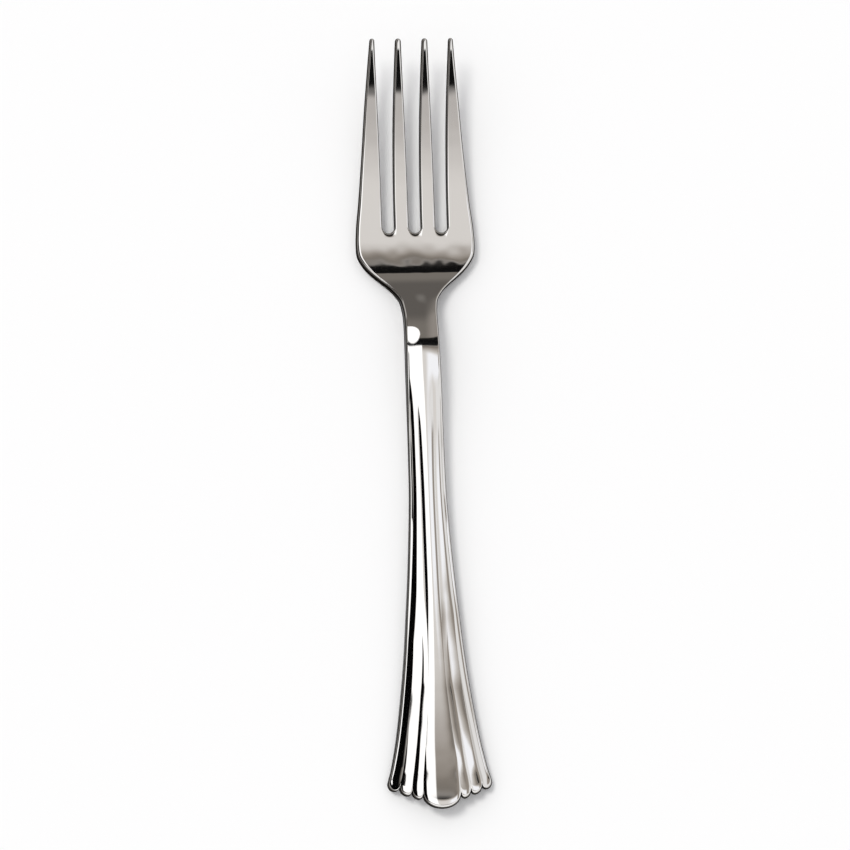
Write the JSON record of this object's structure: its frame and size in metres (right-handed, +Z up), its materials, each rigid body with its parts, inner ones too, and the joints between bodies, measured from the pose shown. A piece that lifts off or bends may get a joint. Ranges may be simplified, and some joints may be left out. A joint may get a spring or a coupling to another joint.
{
  "type": "plastic fork",
  "caption": "Bright metallised plastic dinner fork with swept tines, a dished palm, and a fluted, arched handle that fans out to a scalloped end.",
  "frame": {"origin": "middle of the fork's bounding box in plan, on the surface it lies on", "axes": "+Y along the fork toward the tine tips, +Z up out of the front, +X across the fork"},
  "size_m": [0.028, 0.178, 0.0118],
  "materials": {
    "polystyrene": "moulded grey polystyrene, hidden under the coat",
    "bright_metallising": "mirror-bright vacuum-metallised aluminium between lacquer coats"
  },
  "bodies": {
    "root": {"moulded_body": "polystyrene", "bright_coat_front": "bright_metallising", "bright_coat_back": "bright_metallising"}
  },
  "joints": []
}
